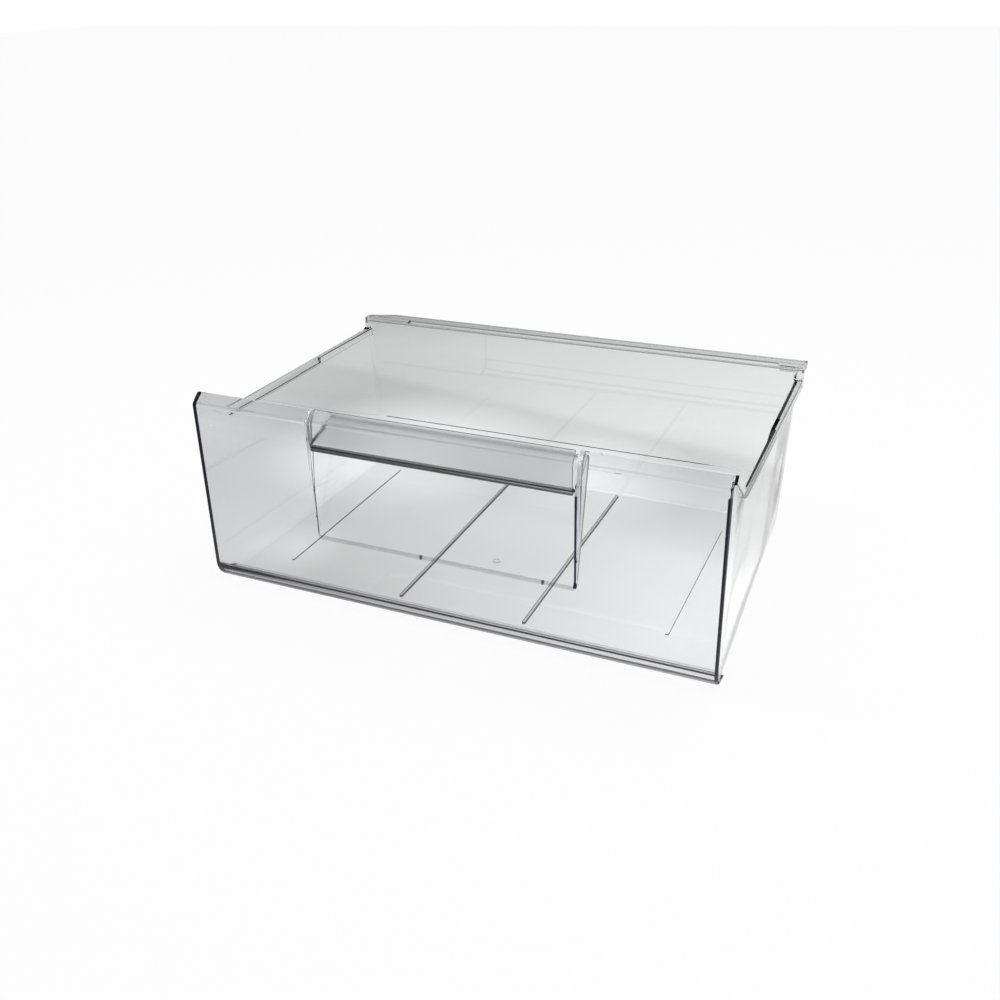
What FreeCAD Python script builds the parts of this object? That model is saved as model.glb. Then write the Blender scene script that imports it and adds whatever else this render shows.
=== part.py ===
# Clear freezer drawer: a moulded tub, a front panel with a hand pocket, and a grip strip.
# Millimetres. X is the width, +Y runs to the back, +Z is up.
# Sketches measure depth from the front panel's foot; the finished pieces are shifted
# so that the origin is under the middle of the drawer, on the plane that it rests on.
import FreeCAD
import Part
import Sketcher
import os

doc = FreeCAD.newDocument("freezer_drawer")

# Driving dimensions
sheet = doc.addObject("Spreadsheet::Sheet", "dims")
DIMENSIONS = [
    ("front_width", 430.0, "width of the front panel"),
    ("front_height", 168.1, "height of the panel's top line"),
    ("panel_skin", 2.5, "wall of the front panel"),
    ("lean", 3.1, "how far the panel leans back at its kink"),
    ("kink_height", 161.0, "height where the panel's bevel starts"),
    ("bevel_back", 12.3, "depth of the panel's top line"),
    ("kink_round", 5.0, "outer round where the panel's bevel starts"),
    ("edge_round", 2.2, "round of the panel's side edges"),
    ("foot_depth", 22.0, "depth of the panel's rolled foot"),
    ("foot_radius", 18.0, "outer radius of the rolled foot"),
    ("foot_inner", 18.9, "inner radius of the rolled foot, which thickens the roll"),
    ("bond_gap", 0.15, "bond line between panel and tub"),
    ("tub_skin", 2.3, "side and rear walls"),
    ("floor_skin", 2.4, "floor"),
    ("wall_front_low", 214.9, "half width outside, front, at the floor"),
    ("wall_front_high", 215.3, "half width outside, front, at the top"),
    ("wall_rear_low", 205.8, "half width outside, rear, at the floor"),
    ("wall_rear_high", 214.4, "half width outside, rear, at the top"),
    ("tub_depth", 274.4, "outside of the rear wall"),
    ("rim_half", 216.66, "half width over the side rims"),
    ("rim_height", 140.5, "top of the side rims"),
    ("rim_band", 7.0, "height of the rims' outer band"),
    ("rim_lip", 2.06, "wall of the band"),
    ("rim_inner", 214.4, "half width inside the jogged rim"),
    ("rim_jog_end", 180.0, "where the jog runs out"),
    ("wing_foot", 47.1, "depth where a wing meets the flat rim"),
    ("wing_round", 25.0, "round at the foot of a wing"),
    ("rear_height", 152.0, "top of the rear rim"),
    ("rear_edge", 289.3, "far edge of the rear flange"),
    ("middle", 144.8, "depth of the drawer's middle"),
    ("ledge_back", 278.6, "far edge of the ledge along the rear rim"),
    ("ledge_drop", 2.0, "how deep the ledge lies under the rear rim"),
    ("rear_band", 6.0, "height of the rear flange's hanging lip"),
    ("rib_offset", 54.6, "floor ribs, from the middle"),
    ("rib_width", 3.0, "width of a floor rib"),
    ("rib_rise", 1.8, "height of a floor rib"),
    ("rib_start", 31.0, "front end of the floor ribs"),
    ("rib_end", 266.0, "rear end of the floor ribs"),
    ("side_rib_left", 172.0, "shallow rib by the left wall"),
    ("side_rib_right", 163.0, "shallow rib by the right wall"),
    ("side_rib_rise", 0.8, "height of the shallow ribs"),
    ("step_height", 47.0, "top of the step on the rear wall"),
    ("step_depth", 0.7, "how far the step stands out"),
    ("catch_depth", 4.0, "how far the catch in the right corner stands out"),
    ("catch_drop", 4.2, "height of the catch"),
    ("pocket_half", 107.5, "half width of the hand pocket at the front"),
    ("pocket_sill", 63.6, "height of the pocket's lower edge"),
    ("pocket_skin", 2.3, "wall of the pocket"),
    ("pocket_slope", 0.42, "how fast the pocket's back leans away"),
    ("pocket_draft", 0.12, "how fast its cheeks close"),
    ("roof_start", 5.9, "depth of the roof's front edge"),
    ("roof_low", 139.9, "height of the roof's underside at its front edge"),
    ("roof_slope", 0.43, "how fast the roof climbs to the back"),
    ("roof_round", 3.0, "inner round between the pocket's back and roof"),
    ("flange_foot", 85.0, "lower end of the flanges beside the grip"),
    ("flange_back", 7.0, "depth of those flanges behind the face"),
    ("flange_skin", 3.2, "thickness of those flanges"),
    ("grip_low", 138.2, "lower edge of the grip"),
    ("grip_skin", 2.3, "wall of the grip"),
    ("bead", 5.2, "thickness of the grip's lower bead"),
]
for row, (alias, value, note) in enumerate(DIMENSIONS, start=1):
    sheet.set("A%d" % row, alias)
    sheet.set("B%d" % row, str(value))
    sheet.set("C%d" % row, note)
    sheet.setAlias("B%d" % row, alias)
doc.recompute()


def size(alias):
    return sheet.get(alias)


# Helpers
def bodyPlane(body, role):
    for feature in body.Origin.OriginFeatures:
        if feature.Role == role:
            return feature
    raise ValueError(role)


def outline(body, name, role, points, offset="0"):
    """A closed sketch whose corners are expressions of the sheet's cells."""
    sketch = body.newObject("Sketcher::SketchObject", name)
    sketch.AttachmentSupport = [(bodyPlane(body, role), "")]
    sketch.MapMode = "FlatFace"
    sketch.setExpression("AttachmentOffset.Base.z", offset)
    doc.recompute()
    return drawCorners(sketch, points)


def plan(name, points, height):
    """The same, outside any body, level at a height."""
    sketch = doc.addObject("Sketcher::SketchObject", name)
    sketch.setExpression("Placement.Base.z", height)
    doc.recompute()
    return drawCorners(sketch, points)


def drawCorners(sketch, points):
    values = [tuple(evaluate(sketch, term) for term in point) for point in points]
    corners = [FreeCAD.Vector(x, y, 0) for x, y in values]
    count = len(corners)
    for i in range(count):
        sketch.addGeometry(Part.LineSegment(corners[i], corners[(i + 1) % count]), False)
    for i in range(count):
        sketch.addConstraint(Sketcher.Constraint("Coincident", i, 2, (i + 1) % count, 1))
    for i, (point, value) in enumerate(zip(points, values)):
        for axis, kind in enumerate(("DistanceX", "DistanceY")):
            if abs(value[axis]) < 1e-9:
                sketch.addConstraint(Sketcher.Constraint("PointOnObject", i, 1, -2 if axis == 0 else -1))
                continue
            index = sketch.addConstraint(Sketcher.Constraint(kind, -1, 1, i, 1, value[axis]))
            sketch.setExpression("Constraints[%d]" % index, point[axis])
    return sketch


def evaluate(owner, text):
    value = owner.evalExpression(text)
    return float(getattr(value, "Value", value))


def pad(body, name, sketch, length, both=False, back=False):
    feature = body.newObject("PartDesign::Pad", name)
    feature.Profile = sketch
    feature.Length = 10.0
    feature.setExpression("Length", length)
    feature.Midplane = both
    feature.Reversed = back
    sketch.Visibility = False
    doc.recompute()
    return feature


def pocket(body, name, sketch, length, both=False, back=False):
    feature = body.newObject("PartDesign::Pocket", name)
    feature.Profile = sketch
    feature.Length = 10.0
    feature.setExpression("Length", length)
    feature.Midplane = both
    feature.Reversed = back
    sketch.Visibility = False
    doc.recompute()
    return feature


def edgesAt(shape, test):
    names = []
    for number, edge in enumerate(shape.Edges, start=1):
        middle = edge.valueAt((edge.FirstParameter + edge.LastParameter) / 2)
        if test(edge, middle):
            names.append("Edge%d" % number)
    return names


def fillet(body, name, base, test, radius):
    edges = edgesAt(base.Shape, test)
    if not edges:
        raise ValueError("no edge for " + name)
    feature = body.newObject("PartDesign::Fillet", name)
    feature.Base = (base, edges)
    feature.Radius = 1.0
    feature.setExpression("Radius", radius)
    doc.recompute()
    return feature


def roundEdges(name, base, test, radius):
    """Part::Fillet on the edges that pass the test."""
    numbers = [int(edge[4:]) for edge in edgesAt(base.Shape, test)]
    feature = doc.addObject("Part::Fillet", name)
    feature.Base = base
    feature.Edges = [(number, radius, radius) for number in numbers]
    base.Visibility = False
    doc.recompute()
    return feature


def near(a, b, slack=0.3):
    return abs(a - b) < slack


def alongX(edge):
    return near(abs(edge.Vertexes[0].Point.x - edge.Vertexes[-1].Point.x), edge.Length, 0.01)


# Tub: floor, side walls with their wings, rear wall, rims and ribs
def buildTub():
    # Outside and inside are lofts from a plan at the floor to one above the top, rounded before the cut
    def block(name, skin, base, front, rear, high, corner, bottom):
        sections = []
        for level, height in (("low", base), ("high", high)):
            ahead = "(dims.wall_front_%s - %s)" % (level, skin)
            behind = "(dims.wall_rear_%s - %s)" % (level, skin)
            points = [("-" + ahead, front), (ahead, front), (behind, rear), ("-" + behind, rear)]
            sections.append(plan("%s_%s" % (name, level), points, height))
        loft = doc.addObject("Part::Loft", name)
        loft.Sections = sections
        loft.Solid = True
        loft.Ruled = True
        doc.recompute()
        back = evaluate(sheet, rear)
        ground = evaluate(sheet, base)
        loft = roundEdges(name + "_corners", loft, lambda e, m: near(m.y, back) and abs(m.x) > 190, corner)
        return roundEdges(name + "_bottom", loft, lambda e, m: near(m.z, ground, 0.01) and m.y > 5, bottom)

    high = "dims.front_height + 6"
    outside = block("outside", "0", "0", "0", "dims.tub_depth", high, 7, 5)
    inside = block("inside", "dims.tub_skin", "dims.floor_skin", "-1", "dims.tub_depth - dims.tub_skin",
                   high + " + 3", 4.7, 3.5)
    shell = doc.addObject("Part::Cut", "open_box")
    shell.Base = outside
    shell.Tool = inside
    doc.recompute()
    body = doc.addObject("PartDesign::Body", "tub")
    body.BaseFeature = shell
    doc.recompute()

    # Outer bands of the side rims, sloping up into the wings
    slope = "(dims.front_height - dims.rim_height) / (dims.wing_foot - dims.bevel_back)"
    shift = "dims.rim_band * tan(atan(%s) / 2)" % slope
    low = "dims.rim_height - dims.rim_band"
    band = [("dims.bevel_back - 4", "dims.front_height + 4 * %s" % slope),
            ("dims.wing_foot", "dims.rim_height"),
            ("dims.tub_depth", "dims.rim_height"),
            ("dims.tub_depth", low),
            ("dims.wing_foot - %s" % shift, low),
            ("dims.bevel_back - 4", "%s + (dims.wing_foot - %s - dims.bevel_back + 4) * %s" % (low, shift, slope))]
    for side, sign in (("left", -1), ("right", 1)):
        start = "-dims.rim_half" if sign < 0 else "dims.rim_half - dims.rim_lip - 0.9"
        profile = outline(body, side + "_band_profile", "YZ_Plane", band, start)
        shell = pad(body, side + "_band", profile, "dims.rim_lip + 0.9")
    # Flat tops that close the rims where the walls draw in
    for side, sign in (("left", "-"), ("right", "")):
        plate = [("%s(dims.rim_half - 1)" % sign, "dims.wing_foot + 12"),
                 ("%s(dims.rim_half - 1)" % sign, "dims.tub_depth"),
                 ("%s(dims.wall_rear_high - 5.2)" % sign, "dims.tub_depth"),
                 ("%s(dims.rim_inner - 0.4)" % sign, "dims.wing_foot + 12")]
        profile = outline(body, side + "_rim_top_profile", "XY_Plane", plate, "dims.rim_height - dims.tub_skin")
        shell = pad(body, side + "_rim_top", profile, "dims.tub_skin")

    # Rear rim: flange, hanging lip and closed ends
    base = "dims.tub_depth - dims.tub_skin"
    flange = [("-dims.rim_half", base), ("dims.rim_half", base),
              ("dims.rim_half", "dims.rear_edge"), ("-dims.rim_half + 26", "dims.rear_edge"),
              ("-dims.rim_half", "dims.rear_edge - 9")]
    profile = outline(body, "flange_profile", "XY_Plane", flange, "dims.rear_height - dims.rear_band")
    shell = pad(body, "flange", profile, "dims.rear_band")
    under = [("-dims.rim_half + 2", "dims.ledge_back + 2.1"), ("dims.rim_half - 2", "dims.ledge_back + 2.1"),
             ("dims.rim_half - 2", "dims.rear_edge - 2.1"), ("-dims.rim_half + 26.5", "dims.rear_edge - 2.1"),
             ("-dims.rim_half + 13.2", "dims.rear_edge - 6.6"), ("-dims.rim_half + 2", "dims.ledge_back + 2.4")]
    profile = outline(body, "flange_hollow_profile", "XY_Plane", under, "dims.rear_height - dims.rear_band - 1")
    shell = pocket(body, "flange_hollow", profile, "dims.rear_band + 1 - dims.tub_skin", back=True)
    under = [("-dims.rim_half + 2", "dims.tub_depth - 0.05"), ("dims.rim_half - 2", "dims.tub_depth - 0.05"),
             ("dims.rim_half - 2", "dims.ledge_back + 2.2"), ("-dims.rim_half + 2", "dims.ledge_back + 2.2")]
    profile = outline(body, "ledge_hollow_profile", "XY_Plane", under, "dims.rear_height - dims.rear_band - 1")
    shell = pocket(body, "ledge_hollow", profile, "dims.rear_band + 1 - dims.tub_skin - dims.ledge_drop", back=True)
    along = [("-168", base + " - 1"), ("194", base + " - 1"), ("194", "dims.ledge_back"), ("-168", "dims.ledge_back")]
    profile = outline(body, "ledge_profile", "XY_Plane", along, "dims.rear_height - dims.ledge_drop")
    shell = pocket(body, "ledge", profile, "dims.ledge_drop + 1", back=True)
    for side, sign in (("left", "-"), ("right", "")):
        ear = [("%sdims.rim_half" % sign, base), ("%s(dims.rim_half - 6)" % sign, base),
               ("%s(dims.rim_half - 6)" % sign, "dims.tub_depth"), ("%sdims.rim_half" % sign, "dims.tub_depth")]
        profile = outline(body, side + "_ear_profile", "XY_Plane", ear, low)
        shell = pad(body, side + "_ear", profile, "dims.rear_height - dims.rim_height + dims.rim_band")

    # Everything above the rims goes, and what lies in front of the panel's back
    inFront = base + " - 0.2"
    above = [("dims.wing_foot - 50", "dims.rim_height + 50 * %s" % slope),
             ("dims.wing_foot", "dims.rim_height"), (inFront, "dims.rim_height"), (inFront, "dims.rear_height"),
             ("dims.rear_edge + 5", "dims.rear_height"), ("dims.rear_edge + 5", "dims.rim_height + 50 * %s" % slope)]
    profile = outline(body, "above_profile", "YZ_Plane", above)
    shell = pocket(body, "above", profile, "2 * dims.rim_half + 20", both=True)
    skin = "dims.panel_skin + dims.bond_gap"
    ahead = [("-6", "-6"), ("dims.foot_depth + dims.bond_gap", "-6"), ("dims.foot_depth + dims.bond_gap", skin),
             (skin, skin), ("dims.lean + %s + 0.2" % skin, "dims.kink_height - 0.5 * (%s) - 0.1" % skin),
             ("dims.bevel_back + 0.61 * (%s)" % skin, "dims.front_height - 0.79 * (%s)" % skin),
             ("dims.bevel_back + 10", "dims.front_height + 6"), ("-6", "dims.front_height + 6")]
    profile = outline(body, "ahead_profile", "YZ_Plane", ahead)
    shell = pocket(body, "ahead", profile, "2 * dims.rim_half + 20", both=True)
    rim = size("rim_height")
    foot = size("wing_foot")
    shell = fillet(body, "wing_foot_round", shell,
                   lambda e, m: alongX(e) and near(m.y, foot) and near(m.z, rim), "dims.wing_round")
    bandFoot = evaluate(sheet, "dims.wing_foot - %s" % shift)
    bandLow = evaluate(sheet, low)
    shell = fillet(body, "band_foot_round", shell,
                   lambda e, m: alongX(e) and near(m.y, bandFoot) and near(m.z, bandLow),
                   "dims.wing_round + dims.rim_band")
    # Each ear sweeps down into its rim
    sweep = [(base + " - 5", "dims.rim_height - 0.3"), (base + " - 5", "dims.rim_height"),
             (base + " - 2.6", "dims.rim_height + 0.7"), (base + " - 0.7", "dims.rim_height + 2.4"),
             (base, "dims.rim_height + 5"), (base + " + 0.5", "dims.rim_height + 5"),
             (base + " + 0.5", "dims.rim_height - 0.3")]
    for side, start in (("left", "-dims.rim_half"), ("right", "dims.rim_half - 5.5")):
        shell = pad(body, side + "_sweep", outline(body, side + "_sweep_profile", "YZ_Plane", sweep, start), "5.5")
    roll = size("panel_skin") + size("bond_gap")
    shell = fillet(body, "panel_seat_round", shell,
                   lambda e, m: alongX(e) and near(m.y, roll, 0.4) and near(m.z, roll, 0.4), "dims.foot_inner - 0.4")

    # Floor ribs with rounded ends and tops
    ribs = [("rib_left", "-dims.rib_offset", "dims.rib_start", "dims.rib_end", "dims.rib_rise"),
            ("rib_right", "dims.rib_offset", "dims.rib_start", "dims.rib_end", "dims.rib_rise"),
            ("side_rib_left", "-dims.side_rib_left", "50", "243", "dims.side_rib_rise"),
            ("side_rib_right", "dims.side_rib_right", "57", "233", "dims.side_rib_rise")]
    for name, across, start, end, rise in ribs:
        profile = outline(body, name + "_profile", "XY_Plane",
                          [("%s - dims.rib_width / 2" % across, start), ("%s + dims.rib_width / 2" % across, start),
                           ("%s + dims.rib_width / 2" % across, end), ("%s - dims.rib_width / 2" % across, end)],
                          "dims.floor_skin - 0.2")
        shell = pad(body, name, profile, "%s + 0.2" % rise)
        ends = (evaluate(sheet, start), evaluate(sheet, end))
        sides = [evaluate(sheet, "%s %s dims.rib_width / 2" % (across, sign)) for sign in "-+"]
        top = evaluate(sheet, "dims.floor_skin + %s" % rise)
        shell = fillet(body, name + "_ends", shell,
                       lambda e, m: min(abs(m.y - end_) for end_ in ends) < 0.01
                       and min(abs(m.x - side_) for side_ in sides) < 0.01 and top - 2.1 < m.z < top, "1.3")
        shell = fillet(body, name + "_top", shell,
                       lambda e, m: near(m.z, top, 0.01) and sides[0] - 0.1 < m.x < sides[1] + 0.1
                       and ends[0] - 0.1 < m.y < ends[1] + 0.1, "0.6")

    # Inside of the jogged rims, in front of where the jog runs out
    groove = [("-2", "dims.front_height + 14 * %s" % slope), ("dims.wing_foot", "dims.rim_height + 0.3"),
              ("dims.rim_jog_end", "dims.rim_height + 0.3"), ("dims.rim_jog_end", "dims.rim_height - 5"),
              ("dims.wing_foot - 5 * tan(atan(%s) / 2)" % slope, "dims.rim_height - 5"),
              ("-2", "dims.rim_height - 5 + (dims.wing_foot + 0.1) * %s" % slope)]
    for side, start in (("left", "-dims.rim_inner"), ("right", "dims.rim_inner - 3")):
        profile = outline(body, side + "_jog_profile", "YZ_Plane", groove, start)
        shell = pocket(body, side + "_jog", profile, "3", back=True)

    # Step low on the rear wall, the catch in its right corner, and the gate's ring
    inner = "dims.tub_depth - dims.tub_skin"
    step = [(inner + " - dims.step_depth", "dims.floor_skin - 0.2"), (inner + " + 0.5", "dims.floor_skin - 0.2"),
            (inner + " + 0.5", "dims.step_height + dims.step_depth"),
            (inner + " - dims.step_depth", "dims.step_height")]
    pad(body, "rear_step", outline(body, "rear_step_profile", "YZ_Plane", step),
        "2 * (dims.wall_rear_low - dims.tub_skin - 3)", both=True)
    catch = [("196.5", inner + " - dims.catch_depth"), ("211.8", inner + " - dims.catch_depth"),
             ("211.8", inner + " + 0.5"), ("196.5", inner + " + 0.5")]
    profile = outline(body, "catch_profile", "XY_Plane", catch, "dims.rear_height - dims.catch_drop")
    pad(body, "catch", profile, "dims.catch_drop")
    gate = body.newObject("Sketcher::SketchObject", "gate_profile")
    gate.AttachmentSupport = [(bodyPlane(body, "XY_Plane"), "")]
    gate.MapMode = "FlatFace"
    gate.setExpression("AttachmentOffset.Base.z", "dims.floor_skin - 0.2")
    for radius in (3.6, 2.5):
        circle = Part.Circle(FreeCAD.Vector(-4.7, 112, 0), FreeCAD.Vector(0, 0, 1), radius)
        number = gate.addGeometry(circle, False)
        gate.addConstraint(Sketcher.Constraint("Radius", number, radius))
        gate.addConstraint(Sketcher.Constraint("DistanceX", -1, 1, number, 3, -4.7))
        gate.addConstraint(Sketcher.Constraint("DistanceY", -1, 1, number, 3, 112.0))
    pad(body, "gate_ring", gate, "0.7")
    return body


def buildPanel():
    # Rolled foot, leaning face and bevel, as one bent sheet
    body = doc.addObject("PartDesign::Body", "panel_blank")
    bend = [("dims.foot_depth", "0"), ("0", "0"), ("dims.lean", "dims.kink_height"),
            ("dims.bevel_back", "dims.front_height"),
            ("dims.bevel_back + 0.61 * dims.panel_skin", "dims.front_height - 0.79 * dims.panel_skin"),
            ("dims.lean + dims.panel_skin", "dims.kink_height - 0.5 * dims.panel_skin"),
            ("dims.panel_skin", "dims.panel_skin"), ("dims.foot_depth", "dims.panel_skin")]
    sheetPad = pad(body, "bent_sheet", outline(body, "bend_profile", "YZ_Plane", bend), "dims.front_width", both=True)
    skin = size("panel_skin")
    sheetPad = fillet(body, "foot_inside", sheetPad,
                      lambda e, m: alongX(e) and near(m.y, skin) and near(m.z, skin), "dims.foot_inner")
    sheetPad = fillet(body, "foot_outside", sheetPad,
                      lambda e, m: alongX(e) and near(m.y, 0) and near(m.z, 0), "dims.foot_radius")
    side = size("front_width") / 2
    lean = size("lean") / size("kink_height")
    roll = size("foot_radius")
    bevel = ((size("lean") + size("bevel_back")) / 2, (size("kink_height") + size("front_height")) / 2)

    def outerSideEdge(e, m):
        # side edges of the outer skin: foot, roll, face and bevel
        if not near(abs(m.x), side, 0.01) or e.Length < 4:
            return False
        onFace = near(m.y, lean * m.z, 0.9)
        onBevel = near(m.y, bevel[0], 0.2) and near(m.z, bevel[1], 0.2)
        onRoll = m.z < roll and (m.y - roll) ** 2 + (m.z - roll) ** 2 > (roll - 0.6) ** 2
        return onFace or onBevel or onRoll or m.z < 0.1

    sheetPad = fillet(body, "side_edges", sheetPad, outerSideEdge, "dims.edge_round")
    kink = (size("lean"), size("kink_height"))
    sheetPad = fillet(body, "kink_inside", sheetPad,
                      lambda e, m: alongX(e) and near(m.y, kink[0] + skin, 0.4) and near(m.z, kink[1] - skin / 2, 0.4),
                      "dims.kink_round - dims.panel_skin")
    sheetPad = fillet(body, "kink_outside", sheetPad,
                      lambda e, m: alongX(e) and near(m.y, kink[0]) and near(m.z, kink[1]), "dims.kink_round")

    # Hand pocket: a side profile and a plan, each pulled through the other
    # pocket_slope is the run of the back for each millimetre up, roof_slope the climb for each millimetre back
    back, climb = "dims.pocket_slope", "dims.roof_slope"

    def meet(backRun, backStart, roofHigh):
        # depth where the line of the back meets the line of the roof
        return "((%s + %s * (%s - %s * dims.roof_start - %s)) / (1 - %s * %s))" % (
            backRun, back, roofHigh, climb, backStart, back, climb)

    sill = "dims.pocket_sill"
    inCorner = meet("1.2", sill, "dims.roof_low")
    hollow = [("-6", sill), ("1.2", sill),
              (inCorner, "dims.roof_low + %s * (%s - dims.roof_start)" % (climb, inCorner)),
              ("dims.roof_start", "dims.roof_low"), ("-6", "dims.roof_low")]
    under = "(dims.pocket_sill - 2.6)"
    roofTop = "(dims.roof_low + dims.pocket_skin * 1.09)"
    outCorner = meet("2.6", under, roofTop)
    scoop = [("1.5", under), ("2.6", under),
             (outCorner, "%s + %s * (%s - dims.roof_start)" % (roofTop, climb, outCorner)),
             ("dims.roof_start", roofTop), ("2.9", roofTop)]

    def cheekPlan(skinText):
        reach = 60
        near_ = "dims.pocket_half + %s + 6 * dims.pocket_draft" % skinText
        far = "dims.pocket_half + %s - %d * dims.pocket_draft" % (skinText, reach)
        return [("-(%s)" % near_, "-6"), (near_, "-6"), (far, str(reach)), ("-(%s)" % far, str(reach))]

    parts = {}
    for name, side, skinText, radius in (("hollow", hollow, "0", "dims.roof_round"),
                                         ("scoop", scoop, "dims.pocket_skin", "dims.roof_round + dims.pocket_skin")):
        long = doc.addObject("PartDesign::Body", name + "_side")
        bar = pad(long, name + "_bar", outline(long, name + "_side_profile", "YZ_Plane", side), "260", both=True)
        corner = bar.Shape.BoundBox.YMax
        fillet(long, name + "_roof_round", bar, lambda e, m: alongX(e) and near(m.y, corner), radius)
        tall = doc.addObject("PartDesign::Body", name + "_plan")
        pad(tall, name + "_column", outline(tall, name + "_plan_profile", "XY_Plane", cheekPlan(skinText)), "190")
        common = doc.addObject("Part::Common", name)
        common.Base = long
        common.Tool = tall
        parts[name] = common
    # Flanges behind the face, beside the grip, and the cut-out that the grip closes
    for side, start in (("left", "-dims.pocket_half - dims.flange_skin"), ("right", "dims.pocket_half")):
        web = [("dims.panel_skin", "dims.flange_foot"), ("dims.lean + dims.flange_back", "dims.kink_height - 4"),
               ("dims.bevel_back + 0.61 * dims.flange_back", "dims.front_height - 0.79 * dims.flange_back + 3.5"),
               ("dims.bevel_back", "dims.front_height"), ("dims.lean + 0.5", "dims.kink_height"),
               ("1.8", "dims.flange_foot")]
        pad(body, side + "_flange", outline(body, side + "_flange_profile", "YZ_Plane", web, start),
            "dims.flange_skin")
    gap = doc.addObject("Part::Box", "cut_out")
    for name, value in (("Length", "2 * dims.pocket_half"), ("Width", "40"),
                        ("Height", "60"), ("Placement.Base.x", "-dims.pocket_half"),
                        ("Placement.Base.y", "-20"), ("Placement.Base.z", "dims.roof_low - 2")):
        gap.setExpression(name, value)
    opened = doc.addObject("Part::Cut", "opened_panel")
    opened.Base = body
    opened.Tool = gap
    fused = doc.addObject("Part::Fuse", "panel_with_scoop")
    fused.Base = opened
    fused.Tool = parts["scoop"]
    panel = doc.addObject("Part::Cut", "front_panel")
    panel.Base = fused
    panel.Tool = parts["hollow"]
    panel.Refine = True
    doc.recompute()
    return panel


def buildGrip():
    # A bevelled strip that swells into a rounded bead along its lower edge
    side = doc.addObject("PartDesign::Body", "grip_side")
    skin = "dims.grip_skin"
    foot = "dims.lean * dims.grip_low / dims.kink_height"
    section = [("dims.bevel_back", "dims.front_height"), ("dims.lean", "dims.kink_height"),
               (foot, "dims.grip_low - 2"), ("%s + dims.bead" % foot, "dims.grip_low - 2"),
               ("%s + dims.bead" % foot, "dims.roof_low - 0.6"),
               ("%s + %s" % (foot, skin), "dims.roof_low + 2"),
               ("dims.lean + %s" % skin, "dims.kink_height - 0.5 * %s" % skin),
               ("dims.bevel_back + 0.61 * %s" % skin, "dims.front_height - 0.79 * %s" % skin)]
    bar = pad(side, "grip_bar", outline(side, "grip_profile", "YZ_Plane", section), "260", both=True)
    kink = (size("lean"), size("kink_height"))
    bar = fillet(side, "grip_kink_inside", bar,
                 lambda e, m: alongX(e) and near(m.y, kink[0] + size("grip_skin"), 0.4)
                 and near(m.z, kink[1] - size("grip_skin") / 2, 0.4), "dims.kink_round - dims.grip_skin")
    bar = fillet(side, "grip_kink_outside", bar,
                 lambda e, m: alongX(e) and near(m.y, kink[0]) and near(m.z, kink[1]), "dims.kink_round")
    low = size("grip_low") - 2
    bar = fillet(side, "bead_round", bar, lambda e, m: alongX(e) and near(m.z, low), "dims.bead / 2 - 0.1")
    across = doc.addObject("PartDesign::Body", "grip_plan")
    close = "dims.pocket_half - 0.1 + 6 * dims.pocket_draft"
    far = "dims.pocket_half - 0.1 - 40 * dims.pocket_draft"
    shape = [("-(%s)" % close, "-6"), ("%s - 1.6" % close, "-6"), ("%s - 1.6" % far, "40"), ("-(%s)" % far, "40")]
    pad(across, "grip_column", outline(across, "grip_plan_profile", "XY_Plane", shape), "190")
    grip = doc.addObject("Part::Common", "handle_grip")
    grip.Base = side
    grip.Tool = across
    doc.recompute()
    return grip


pieces = [buildTub(), buildPanel(), buildGrip()]
for piece, label in zip(pieces, ("tub", "front_panel", "handle_grip")):
    piece.Label = label
    piece.setExpression("Placement.Base.y", "-dims.middle")
doc.recompute()

for feature in doc.Objects:
    if "Invalid" in feature.State or "Error" in feature.State:
        raise RuntimeError("%s: %s" % (feature.Name, feature.State))
os.makedirs("parts", exist_ok=True)
for piece in pieces:
    if piece.Shape.isNull() or not piece.Shape.isValid():
        raise RuntimeError(piece.Label + " has a bad shape")
    piece.Shape.exportStep("parts/%s.step" % piece.Label)
    box = piece.Shape.BoundBox
    print(piece.Label, "solids", len(piece.Shape.Solids), "volume %.0f" % piece.Shape.Volume,
          "X %.2f %.2f Y %.2f %.2f Z %.2f %.2f" % (box.XMin, box.XMax, box.YMin, box.YMax, box.ZMin, box.ZMax))
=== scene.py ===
import math
import bmesh
import bpy
import numpy as np
from mathutils import Matrix, Vector


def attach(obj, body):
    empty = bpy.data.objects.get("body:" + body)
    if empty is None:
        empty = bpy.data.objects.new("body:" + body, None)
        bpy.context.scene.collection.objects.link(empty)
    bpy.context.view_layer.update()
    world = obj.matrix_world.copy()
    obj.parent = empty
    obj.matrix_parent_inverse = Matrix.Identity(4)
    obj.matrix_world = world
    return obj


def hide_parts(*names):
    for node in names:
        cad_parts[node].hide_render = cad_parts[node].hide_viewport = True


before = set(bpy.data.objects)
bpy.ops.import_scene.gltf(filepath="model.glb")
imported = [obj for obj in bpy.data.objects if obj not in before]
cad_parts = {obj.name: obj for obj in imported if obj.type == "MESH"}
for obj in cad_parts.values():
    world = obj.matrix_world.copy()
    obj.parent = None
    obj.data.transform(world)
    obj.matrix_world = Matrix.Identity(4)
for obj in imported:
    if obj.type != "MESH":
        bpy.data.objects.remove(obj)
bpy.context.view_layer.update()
print("frame loaded, nodes:", sorted(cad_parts))

# camera: solved from the photograph, in metres and degrees
shot = {
    "place": (0.33113, -0.74864, 0.46722),
    "turn": 23.57,            # to the left
    "pitch": 26.12,           # down
    "roll": -1.30,
    "lens": 37.93,            # millimetres, as the sensor
    "sensor": 36.0,
    "shift": (-0.02, -0.02),
    "clip": (0.01, 50.0),
}


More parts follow.
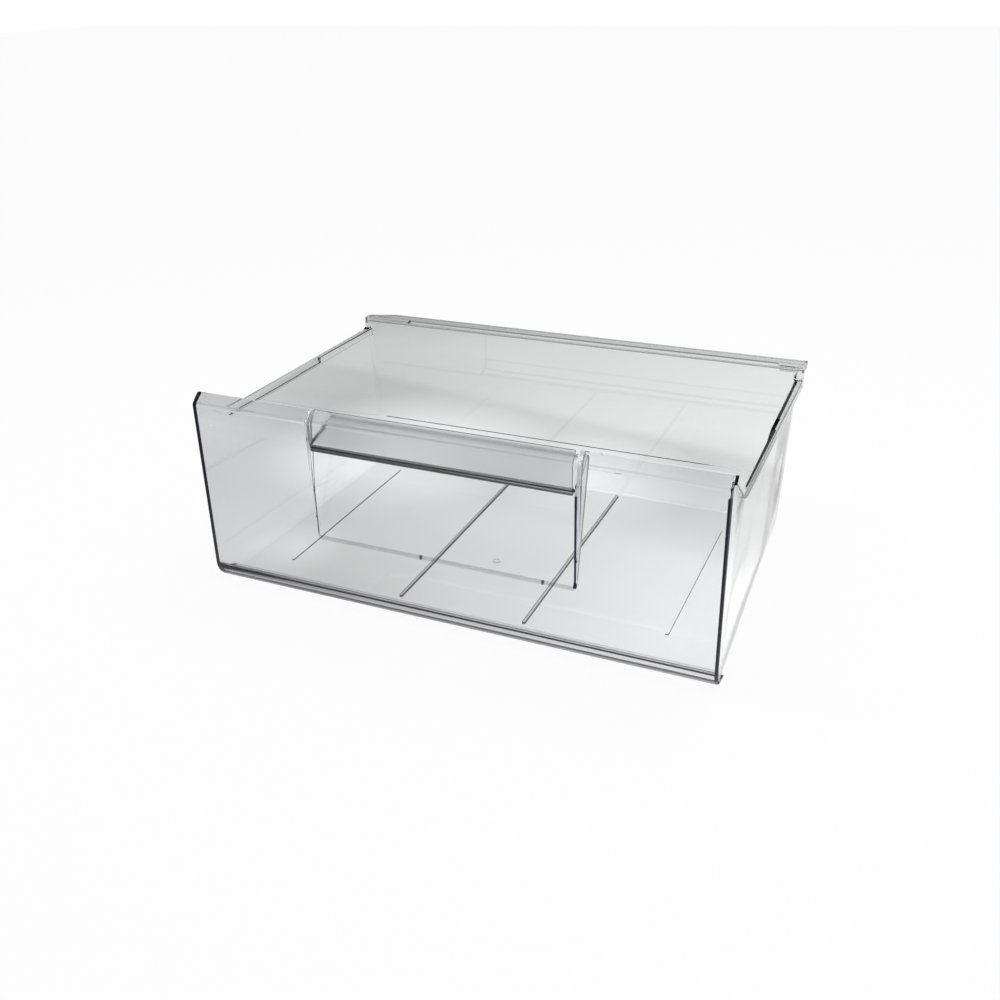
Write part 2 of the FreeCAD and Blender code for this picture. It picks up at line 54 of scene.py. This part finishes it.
def makeCamera():
    yaw, pitch, roll = (math.radians(shot[key]) for key in ("turn", "pitch", "roll"))
    level = math.cos(pitch)
    forward = np.array([-math.sin(yaw) * level, math.cos(yaw) * level, -math.sin(pitch)])
    right = np.array([math.cos(yaw), math.sin(yaw), 0.0])
    up = np.cross(right, forward)
    acrossX = math.cos(roll) * right + math.sin(roll) * up
    acrossY = -math.sin(roll) * right + math.cos(roll) * up
    data = bpy.data.cameras.new("camera")
    data.lens = shot["lens"]
    data.sensor_width = shot["sensor"]
    data.shift_x, data.shift_y = shot["shift"]
    data.clip_start, data.clip_end = shot["clip"]
    camera = bpy.data.objects.new("camera", data)
    bpy.context.scene.collection.objects.link(camera)
    place = Matrix.Identity(4)
    for row in range(3):
        place[row][0], place[row][1], place[row][2] = acrossX[row], acrossY[row], -forward[row]
        place[row][3] = shot["place"][row]
    camera.matrix_world = place
    bpy.context.scene.camera = camera


makeCamera()
print("camera placed")


# short forms for the nodes that every material here uses
def mathNode(tree, kind, *values):
    node = tree.nodes.new("ShaderNodeMath")
    node.operation = kind
    for socket, value in zip(node.inputs, values):
        if isinstance(value, (int, float)):
            socket.default_value = value
        else:
            tree.links.new(value, socket)
    return node.outputs["Value"]


def product(tree, value, *others):
    for other in others:
        value = mathNode(tree, "MULTIPLY", value, other)
    return value


def mapNode(tree, source, span, result):
    # the span's two ends become the result's two ends, and nothing passes them
    node = tree.nodes.new("ShaderNodeMapRange")
    for name, value in zip(("From Min", "From Max", "To Min", "To Max"), (*span, *result)):
        node.inputs[name].default_value = value
    tree.links.new(source, node.inputs["Value"])
    return node.outputs["Result"]


def coordinates(tree, kind):
    # the vector, and the same split into X, Y and Z
    vector = tree.nodes.new("ShaderNodeTexCoord").outputs[kind]
    split = tree.nodes.new("ShaderNodeSeparateXYZ")
    tree.links.new(vector, split.inputs["Vector"])
    return vector, split.outputs


# moulded plastic: what all three mouldings share
plastic = {
    "ior": 1.57,
    "fall": 0.017,            # of the "falling" axis, per metre to the right
    "flowScale": 9.0,
    "flowDetail": 2.0,
    "flowGloss": (0.6, 1.5),  # times a piece's own roughness
    "flowBump": 0.25,
    "weld": 0.000005,         # metres between corners that are one
    "flatAngle": 0.25,        # degrees between faces that are one
    "sharpAngle": 32,         # degrees from which an edge is softened
    "roundSteps": 3,          # segments across a softened edge
    "flatWeight": 80,         # pull of the large flats on the shading, 0 to 100
}
frontPlane = -0.1448          # Y from which depths count; the foot's skin lies just behind it


def bandMask(tree, axes, bands):
    # a band is its strength and one or more (axis, middle, half width) that all have to hold
    mask = None
    for strength, *spans in bands:
        inside = [mathNode(tree, "COMPARE", axes[axis], middle, half) for axis, middle, half in spans]
        part = product(tree, *inside, strength)
        mask = part if mask is None else mathNode(tree, "MAXIMUM", mask, part)
    return mask


def clearPlastic(name, look):
    material = bpy.data.materials.new(name)
    material.use_nodes = True
    tree = material.node_tree
    shader = tree.nodes["Principled BSDF"]
    shader.inputs["IOR"].default_value = plastic["ior"]
    shader.inputs["Transmission Weight"].default_value = 1.0
    # painted shade: where the moulding is thick or cut off it looks nearly black, and bands of the base
    # colour are painted nearly black there
    place, split = coordinates(tree, "Object")
    fallen = mathNode(tree, "MULTIPLY", split["X"], plastic["fall"])
    axes = {"x": split["X"], "y": split["Y"], "z": split["Z"],
            "aside": mathNode(tree, "ABSOLUTE", split["X"]),
            "falling": mathNode(tree, "ADD", split["Z"], fallen)}
    tone = tree.nodes.new("ShaderNodeMix")
    tone.data_type = "RGBA"
    tone.inputs["A"].default_value = (*look["tint"], 1.0)
    tone.inputs["B"].default_value = (*look["paintedShadeTint"], 1.0)
    tree.links.new(bandMask(tree, axes, look["dark"]), tone.inputs["Factor"])
    tree.links.new(tone.outputs["Result"], shader.inputs["Base Color"])
    # flow marks from moulding: a slow swell in the gloss and a very shallow wave
    flow = tree.nodes.new("ShaderNodeTexNoise")
    flow.inputs["Scale"].default_value = plastic["flowScale"]
    flow.inputs["Detail"].default_value = plastic["flowDetail"]
    tree.links.new(place, flow.inputs["Vector"])
    swell = [look["rough"] * times for times in plastic["flowGloss"]]
    gloss = mapNode(tree, flow.outputs["Fac"], (0.0, 1.0), swell)
    if "hazy" in look:
        gloss = mathNode(tree, "MAXIMUM", gloss, bandMask(tree, axes, look["hazy"]))
    tree.links.new(gloss, shader.inputs["Roughness"])
    bump = tree.nodes.new("ShaderNodeBump")
    bump.inputs["Strength"].default_value = plastic["flowBump"]
    bump.inputs["Distance"].default_value = look["wave"]
    tree.links.new(flow.outputs["Fac"], bump.inputs["Height"])
    tree.links.new(bump.outputs["Normal"], shader.inputs["Normal"])
    volume = tree.nodes.new("ShaderNodeVolumeAbsorption")
    volume.inputs["Color"].default_value = (*look["absorb"], 1.0)
    volume.inputs["Density"].default_value = look["density"]
    tree.links.new(volume.outputs["Volume"], tree.nodes["Material Output"].inputs["Volume"])
    return material


def moulding(node, name, look):
    # a merged copy of a CAD node, its sharp edges softened and its flats kept flat
    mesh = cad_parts[node].data.copy()
    mesh.name = name
    piece = bpy.data.objects.new(name, mesh)
    bpy.context.scene.collection.objects.link(piece)
    form = bmesh.new()
    form.from_mesh(mesh)
    bmesh.ops.remove_doubles(form, verts=form.verts, dist=plastic["weld"])
    flat = math.radians(plastic["flatAngle"])
    bmesh.ops.dissolve_limit(form, angle_limit=flat, verts=form.verts, edges=form.edges)
    # the bevel's width is the wide one, and a weight takes it down to the soft one
    weight = form.edges.layers.float.new("bevel_weight_edge")
    sharp = math.radians(plastic["sharpAngle"])
    for edge in form.edges:
        if len(edge.link_faces) == 2 and edge.calc_face_angle() > sharp:
            middle = (edge.verts[0].co + edge.verts[1].co) / 2
            edge[weight] = 1.0 if look["isWide"](middle) else look["soft"] / look["wide"]
    form.to_mesh(mesh)
    form.free()
    if "custom_normal" in mesh.attributes:
        mesh.attributes.remove(mesh.attributes["custom_normal"])
    mesh.shade_smooth()
    edges = piece.modifiers.new("softEdges", "BEVEL")
    edges.width = look["wide"]
    edges.segments = plastic["roundSteps"]
    edges.limit_method = "WEIGHT"
    weighted = piece.modifiers.new("flats", "WEIGHTED_NORMAL")
    weighted.mode = "FACE_AREA"
    weighted.weight = plastic["flatWeight"]
    mesh.materials.clear()
    mesh.materials.append(clearPlastic(name + "Finish", look))
    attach(piece, "root")
    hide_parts(node)
    print(name, "has", len(mesh.polygons), "faces")


# tub: floor, walls, rims and ribs
def atStepTop(p):
    # along the top of the step in the rear wall
    return p.y > 0.1 and abs(p.z - 0.047) < 0.002


# the two middle ribs of the floor; each has a dark side, which is painted shade, and a pale one
ribMiddles = (-0.0546, 0.0546)
ribRun = [("y", frontPlane + 0.1485, 0.1175), ("z", 0.0040, 0.0016)]
clearTub = {
    "tint": (0.985, 0.99, 0.99),
    "paintedShadeTint": (0.001, 0.001, 0.0015),
    "absorb": (0.55, 0.54, 0.58),
    "density": 24.0,
    "rough": 0.012,
    "wave": 0.0003,
    "soft": 0.00045,
    "wide": 0.0009,
    "isWide": atStepTop,
    "dark": [(1.0, ("x", middle - 0.0011, 0.0006), *ribRun) for middle in ribMiddles] + [
        # right rim, painted shade as dark lines: the foot of its inner edge, the top of that edge, and
        # its outer edge
        (1.0, ("x", 0.2124, 0.0013), ("y", -0.0535, 0.0670), ("z", 0.1344, 0.0013)),
        (1.0, ("x", 0.2149, 0.0007), ("y", -0.0490, 0.0615), ("z", 0.1400, 0.0010)),
        (0.9, ("x", 0.2166, 0.0004), ("y", 0.0050, 0.1150), ("z", 0.1395, 0.0016)),
    ],
    "hazy": [(0.5, ("x", middle + 0.0009, 0.0010), *ribRun) for middle in ribMiddles] + [
        # front end of the floor, at the seam
        (0.5, ("y", frontPlane + 0.0222, 0.0016), ("z", 0.0010, 0.0020)),
    ],
}
moulding("tub", "tubMoulding", clearTub)


# front panel: a sheet with a rolled foot, and the hand pocket
def atPocketMouth(p):
    depth = p.y - frontPlane
    cheek = 0.1060 < abs(p.x) < 0.1086 and depth < 0.006 and 0.0636 < p.z < 0.1375
    sill = abs(p.x) < 0.1076 and depth < 0.0025 and 0.0630 < p.z < 0.0645
    return cheek or sill


sillEdge = [("z", 0.0632, 0.0018), ("y", frontPlane + 0.001, 0.003)]
clearPanel = {
    "tint": (0.985, 0.985, 0.99),
    "paintedShadeTint": (0.0008, 0.0005, 0.005),
    "absorb": (0.47, 0.475, 0.51),
    "density": 30.0,
    "rough": 0.015,
    "wave": 0.0004,
    "soft": 0.0006,
    "wide": 0.0018,
    "isWide": atPocketMouth,
    "dark": [
        # the two side edges, darkened with painted shade
        (1.0, ("x", -0.2150, 0.0036)),
        (1.0, ("x", 0.2150, 0.0023), ("z", 0.078, 0.076)),
        # rolled foot, painted shade as two dark lines: its upper line, just under the start of the
        # roll, and its lower one
        (1.0, ("z", 0.0164, 0.0009), ("y", frontPlane + 0.0002, 0.0015)),
        (1.0, ("z", 0.00445, 0.00105), ("y", frontPlane + 0.0064, 0.0016)),
        # the pocket's sill, grey with painted shade, and a painted dark tick where a rib passes behind
        # it
        (0.30, ("aside", 0.0, 0.1076), *sillEdge),
        (0.93, ("x", -0.0169, 0.0010), *sillEdge),
        (0.93, ("x", 0.0829, 0.0010), *sillEdge),
        # painted shade along the edge of the pocket's right cheek
        (1.0, ("x", 0.1078, 0.0012), ("z", 0.1005, 0.037), ("y", frontPlane + 0.001, 0.004)),
    ],
    "hazy": [
        # rear end of the foot, at the seam
        (0.5, ("y", frontPlane + 0.0215, 0.0016), ("z", 0.0010, 0.0020)),
    ],
}
moulding("front_panel", "frontPanelMoulding", clearPanel)

# grip: a cloudy strip, with painted shade along the thick bead at its lower edge
clearGrip = {
    "tint": (0.96, 0.975, 0.98),
    "paintedShadeTint": (0.001, 0.001, 0.0015),
    "absorb": (0.50, 0.51, 0.53),
    "density": 22.0,
    "rough": 0.17,
    "wave": 0.0005,
    "soft": 0.0005,
    "wide": 0.001,
    "isWide": lambda p: False,
    "dark": [(0.75, ("falling", 0.1370, 0.0030))],
}
moulding("handle_grip", "gripStrip", clearGrip)
print("mouldings dressed")


# studio: the camera sees sheet and room white, the plastic sees them toned, so that its edges read
# dark; the sheet's tones are painted light and shade
def whiteToCamera(tree, toned, white):
    rays = tree.nodes.new("ShaderNodeLightPath")
    pick = tree.nodes.new("ShaderNodeMix")
    pick.data_type = "FLOAT"
    tree.links.new(rays.outputs["Is Camera Ray"], pick.inputs["Factor"])
    tree.links.new(toned, pick.inputs["A"])
    pick.inputs["B"].default_value = white
    return pick.outputs["Result"]


def distanceNode(tree, place, centre):
    node = tree.nodes.new("ShaderNodeVectorMath")
    node.operation = "DISTANCE"
    node.inputs[1].default_value = centre
    tree.links.new(place, node.inputs[0])
    return node.outputs["Value"]


# the sheet under the drawer, with painted light and shade in the tones that the plastic sees; a pair of
# spans is a stretch and the tones at its two ends
sheet = {
    "half": 8.0,
    "drop": 0.0006,
    "paper": (0.85, 0.85, 0.85),
    "rough": 0.9,
    "glowing": 0.90,                                 # share of glow against paper
    "white": 1.053,
    # painted shade: darker to the left, in front, and away from the middle
    "across": ((-0.35, 0.20), (0.775, 1.02)),        # along X
    "ahead": ((-0.32, -0.15), (0.40, 1.0)),          # along Y
    "middle": (0.05, 0.05, 0.0),
    "around": ((0.55, 1.3), (1.0, 0.22)),            # away from the middle
    "turned": 0.17,                                  # the bands of tone run this much askew
    # bands of painted light and shade, among them a painted shadow of the rear wall and rim
    "bands": [(-0.2, 0.90), (-0.05, 1.0), (0.05, 1.14), (0.12, 0.97), (0.20, 0.86),
              (0.274, 0.79), (0.296, 0.92), (0.45, 0.90), (0.6, 0.90)],   # depth and tone
    # spots of painted shade (a negative change) and painted light (a positive change)
    "spots": [(-0.33, 0.22, 0.26, -0.24), (-0.12, -0.16, 0.13, -0.18), (0.17, -0.08, 0.15, 0.18),
              (-0.185, -0.075, 0.05, 0.28), (0.10, 0.215, 0.11, -0.18), (-0.20, 0.165, 0.16, 0.66),
              (0.02, 0.165, 0.11, 0.38)],            # X, Y, reach and change of tone
    # a painted contact shadow under the foot
    "paintedContactShadow": (-0.131, 0.0035, 0.20),               # Y, half width and tone under the foot
}


# bands of painted light and shade across the sheet
def toneBands(tree, split):
    # a ramp holds no tone above 1, so it holds half of each
    askew = mathNode(tree, "MULTIPLY", split["X"], sheet["turned"])
    depth = mathNode(tree, "ADD", split["Y"], askew)
    low, high = sheet["bands"][0][0], sheet["bands"][-1][0]
    ramp = tree.nodes.new("ShaderNodeValToRGB")
    stops = ramp.color_ramp.elements
    while len(stops) < len(sheet["bands"]):
        stops.new(0.5)
    for stop, (where, tone) in zip(stops, sheet["bands"]):
        stop.position = (where - low) / (high - low)
        stop.color = (tone / 2, tone / 2, tone / 2, 1)
    tree.links.new(mapNode(tree, depth, (low, high), (0.0, 1.0)), ramp.inputs["Fac"])
    return mathNode(tree, "MULTIPLY", ramp.outputs["Color"], 2.0)


def makeFloor():
    half, level = sheet["half"], -sheet["drop"]
    mesh = bpy.data.meshes.new("floor")
    corners = [(-half, -half, level), (half, -half, level), (half, half, level), (-half, half, level)]
    mesh.from_pydata(corners, [], [(0, 1, 2, 3)])
    floor = bpy.data.objects.new("floor", mesh)
    bpy.context.scene.collection.objects.link(floor)
    material = bpy.data.materials.new("floorPaper")
    material.use_nodes = True
    tree = material.node_tree
    paper = tree.nodes["Principled BSDF"]
    paper.inputs["Base Color"].default_value = (*sheet["paper"], 1)
    paper.inputs["Roughness"].default_value = sheet["rough"]
    paper.inputs["Specular IOR Level"].default_value = 0.0
    place, split = coordinates(tree, "Object")
    # painted light and shade for the plastic to see: the tone falls off across, in front and away from
    # the middle, and runs in bands
    across = mapNode(tree, split["X"], *sheet["across"])
    ahead = mapNode(tree, split["Y"], *sheet["ahead"])
    around = mapNode(tree, distanceNode(tree, place, sheet["middle"]), *sheet["around"])
    shade = product(tree, across, around, ahead, toneBands(tree, split))
    # spots of painted shade and painted light on the sheet
    for x, y, reach, change in sheet["spots"]:
        away = distanceNode(tree, place, (x, y, 0))
        shade = product(tree, shade, mapNode(tree, away, (0.0, reach), (1 + change, 1.0)))
    # painted contact shadow: a darker strip on the sheet under the foot
    line, width, dark = sheet["paintedContactShadow"]
    paintedContactShadow = mathNode(tree, "COMPARE", split["Y"], line, width)
    darkening = mathNode(tree, "MULTIPLY", paintedContactShadow, 1 - dark)
    shade = product(tree, shade, mathNode(tree, "SUBTRACT", 1.0, darkening))
    glow = tree.nodes.new("ShaderNodeEmission")
    glow.inputs["Color"].default_value = (1, 1, 1, 1)
    tree.links.new(whiteToCamera(tree, shade, sheet["white"]), glow.inputs["Strength"])
    mix = tree.nodes.new("ShaderNodeMixShader")
    mix.inputs[0].default_value = sheet["glowing"]
    tree.links.new(paper.outputs["BSDF"], mix.inputs[1])
    tree.links.new(glow.outputs["Emission"], mix.inputs[2])
    tree.links.new(mix.outputs["Shader"], tree.nodes["Material Output"].inputs["Surface"])
    mesh.materials.append(material)


# the room, by direction: darker overhead, to the left and in front of the drawer
room = {
    "white": 1.006,
    "climb": ((0.10, 0.70), (0.38, 0.25)),
    "aside": ((-0.8, 0.8), (0.85, 1.15)),
    "ahead": ((-0.75, -0.15), (0.5, 1.0)),
}


def makeWorld():
    world = bpy.data.worlds.new("studio")
    bpy.context.scene.world = world
    world.use_nodes = True
    tree = world.node_tree
    split = coordinates(tree, "Generated")[1]
    climb = mapNode(tree, split["Z"], *room["climb"])
    aside = mapNode(tree, split["X"], *room["aside"])
    ahead = mapNode(tree, split["Y"], *room["ahead"])
    back = tree.nodes["Background"]
    back.inputs["Color"].default_value = (1, 1, 1, 1)
    tent = product(tree, climb, aside, ahead)
    tree.links.new(whiteToCamera(tree, tent, room["white"]), back.inputs["Strength"])


lamps = {
    "overhead": {"place": (0.6, 0.9, 2.4), "aim": (0, 0, 0.05), "size": (1.0, 0.6), "watts": 6},
    "strip": {"place": (0.1, -0.15, 1.3), "aim": (0.1, -0.15, 0), "size": (2.6, 0.06), "watts": 4},
}


def softLamp(name, place, aim, size, watts):
    data = bpy.data.lights.new(name, "AREA")
    data.shape = "RECTANGLE"
    data.size, data.size_y = size
    data.energy = watts
    lamp = bpy.data.objects.new(name, data)
    bpy.context.scene.collection.objects.link(lamp)
    lamp.location = place
    lamp.rotation_euler = (Vector(place) - Vector(aim)).to_track_quat("Z", "Y").to_euler()


makeFloor()
makeWorld()
for lampName, lamp in lamps.items():
    softLamp(lampName, **lamp)
bpy.context.scene.view_settings.view_transform = "Standard"
print("studio lit")
